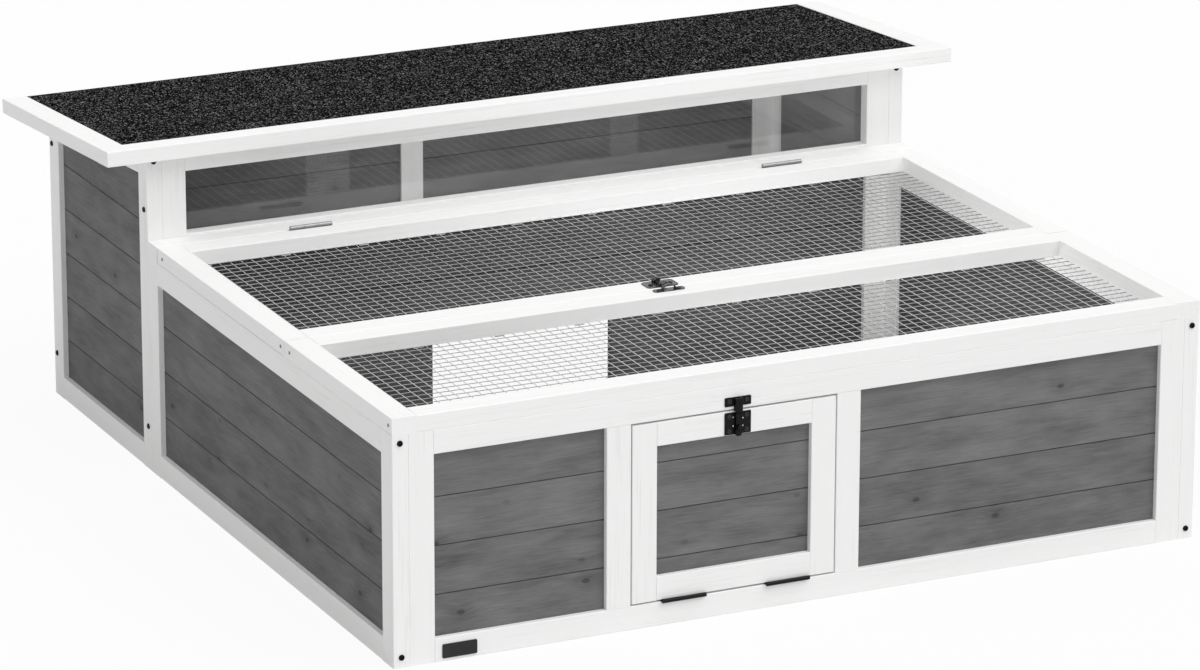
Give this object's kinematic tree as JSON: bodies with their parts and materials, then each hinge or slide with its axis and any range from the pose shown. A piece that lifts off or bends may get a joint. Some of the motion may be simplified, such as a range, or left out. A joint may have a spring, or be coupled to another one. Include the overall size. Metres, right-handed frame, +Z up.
{
  "type": "tortoise house",
  "caption": "Low planked tortoise run with mesh panels on top, a hinged mesh lid and front door, and a sleeping house with a long window and a hinged felted roof.",
  "frame": {"origin": "on the ground, under the middle of the whole object", "axes": "X to the right and Y to the back, seen from the front door, Z up"},
  "size_m": [1.056, 1.0114, 0.3853],
  "materials": {
    "white_paint": "white paint over wood with a visible grain",
    "grey_stain": "mid grey stain over tongued wood planks",
    "roofing_felt": "bitumen felt with mineral granules",
    "black_hardware": "black painted steel",
    "galvanised_wire": "galvanised welded wire",
    "clear_pane": "clear flat sheet"
  },
  "bodies": {
    "enclosure": {"left_run_stiles": "white_paint", "left_run_rails": "white_paint", "left_run_planks": "grey_stain", "left_house_stiles": "white_paint", "left_house_rails": "white_paint", "left_house_planks": "grey_stain", "right_run_stiles": "white_paint", "right_run_rails": "white_paint", "right_run_planks": "grey_stain", "right_house_stiles": "white_paint", "right_house_rails": "white_paint", "right_house_planks": "grey_stain", "front_stiles": "white_paint", "front_rails": "white_paint", "front_left_planks": "grey_stain", "front_right_planks": "grey_stain", "divider_stiles": "white_paint", "divider_rails": "white_paint", "divider_planks": "grey_stain", "window_pane": "clear_pane", "back_stiles": "white_paint", "back_rails": "white_paint", "back_planks": "grey_stain", "hinge_strip": "white_paint", "front_panel_side_rails": "white_paint", "front_panel_cross_rails": "white_paint", "front_panel_mesh": "galvanised_wire", "door_hinge_frame_leaves": "black_hardware", "door_hinge_pins": "black_hardware", "lid_hinge_strip_leaves": "black_hardware", "lid_hinge_pins": "black_hardware", "roof_hinge_wall_leaves": "black_hardware", "roof_hinge_pins": "black_hardware", "door_keeper": "black_hardware", "lid_keeper": "black_hardware"},
    "front_door": {"door_stiles": "white_paint", "door_rails": "white_paint", "door_planks": "grey_stain", "door_hinge_door_leaves": "black_hardware", "door_latch_plate": "black_hardware"},
    "door_bolt": {"door_bolt": "black_hardware"},
    "mesh_lid": {"lid_side_rails": "white_paint", "lid_cross_rails": "white_paint", "lid_mesh": "galvanised_wire", "lid_hinge_lid_leaves": "black_hardware", "lid_latch_plate": "black_hardware"},
    "lid_bolt": {"lid_bolt": "black_hardware"},
    "roof": {"roof_board": "white_paint", "roof_felt": "roofing_felt", "roof_front_trim": "white_paint", "roof_side_trims": "white_paint", "roof_hinge_roof_leaves": "black_hardware"}
  },
  "joints": [
    {"name": "front_door_hinge", "type": "hinge", "parent": "enclosure", "child": "front_door", "pos_m": [-0.083, -0.50107, 0.0272], "axis": [1, 0, 0], "range_deg": [0, 95]},
    {"name": "door_bolt_slide", "type": "slide", "parent": "front_door", "child": "door_bolt", "axis": [0, 0, 1], "range_m": [0, 0.009]},
    {"name": "mesh_lid_hinge", "type": "hinge", "parent": "enclosure", "child": "mesh_lid", "pos_m": [0, 0.15663, 0.2736], "axis": [-1, 0, 0], "range_deg": [0, 93]},
    {"name": "lid_bolt_slide", "type": "slide", "parent": "mesh_lid", "child": "lid_bolt", "axis": [0, -1, 0], "range_m": [0, 0.009]},
    {"name": "roof_hinge", "type": "hinge", "parent": "enclosure", "child": "roof", "pos_m": [0, 0.49973, 0.34161], "axis": [-1, 0, 0], "range_deg": [0, 95]}
  ]
}
